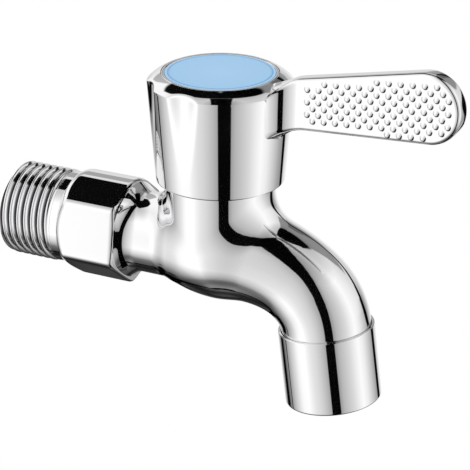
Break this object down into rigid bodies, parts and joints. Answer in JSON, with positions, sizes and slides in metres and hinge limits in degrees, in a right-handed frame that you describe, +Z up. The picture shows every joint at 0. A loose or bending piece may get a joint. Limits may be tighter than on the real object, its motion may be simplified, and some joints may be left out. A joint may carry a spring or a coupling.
{
  "type": "bib tap",
  "caption": "Bib tap with a threaded inlet, spanner flats, a bent spout with an outlet sleeve, and a lever handle that turns a quarter turn.",
  "frame": {"origin": "centre of the inlet thread's end face", "axes": "+X runs along the inlet towards the spout, +Z is up along the handle's spindle, and +Y is to the left as seen by the incoming water"},
  "size_m": [0.1072, 0.0306, 0.0804],
  "materials": {
    "chrome_plated_brass": "bright chrome plating on cast brass",
    "chrome_plated_zinc": "bright chrome plating on die-cast zinc",
    "chrome_plated_plastic": "bright chrome plating on ABS",
    "blue_plastic": "light blue, satin gloss",
    "machined_brass": "turned brass",
    "stainless_steel": "plain stainless steel",
    "black_rubber": "moulded black rubber",
    "red_fibre": "vulcanised fibre",
    "white_plastic": "moulded acetal",
    "grey_plastic": "moulded acetal",
    "ceramic": "lapped alumina ceramic"
  },
  "bodies": {
    "body": {"tap_body": "chrome_plated_brass", "outlet_sleeve": "chrome_plated_brass", "outlet_washer": "black_rubber", "aerator_housing": "white_plastic", "aerator_screen": "stainless_steel", "aerator_insert": "grey_plastic", "seat_seal": "black_rubber", "seal_retainer": "white_plastic", "fixed_disc": "ceramic", "bonnet": "machined_brass", "bonnet_washer": "red_fibre"},
    "handle": {"lever_handle": "chrome_plated_zinc", "screw_washer": "stainless_steel", "handle_screw": "stainless_steel", "index_plug": "chrome_plated_plastic", "index_disc": "blue_plastic", "spindle": "machined_brass", "spindle_o_rings": "black_rubber", "circlip": "stainless_steel", "thrust_washer": "white_plastic", "turning_disc": "ceramic"}
  },
  "joints": [
    {"name": "handle_turn", "type": "hinge", "parent": "body", "child": "handle", "pos_m": [0.0505, 0, 0.02], "axis": [0, 0, 1], "range_deg": [0, 90]}
  ]
}
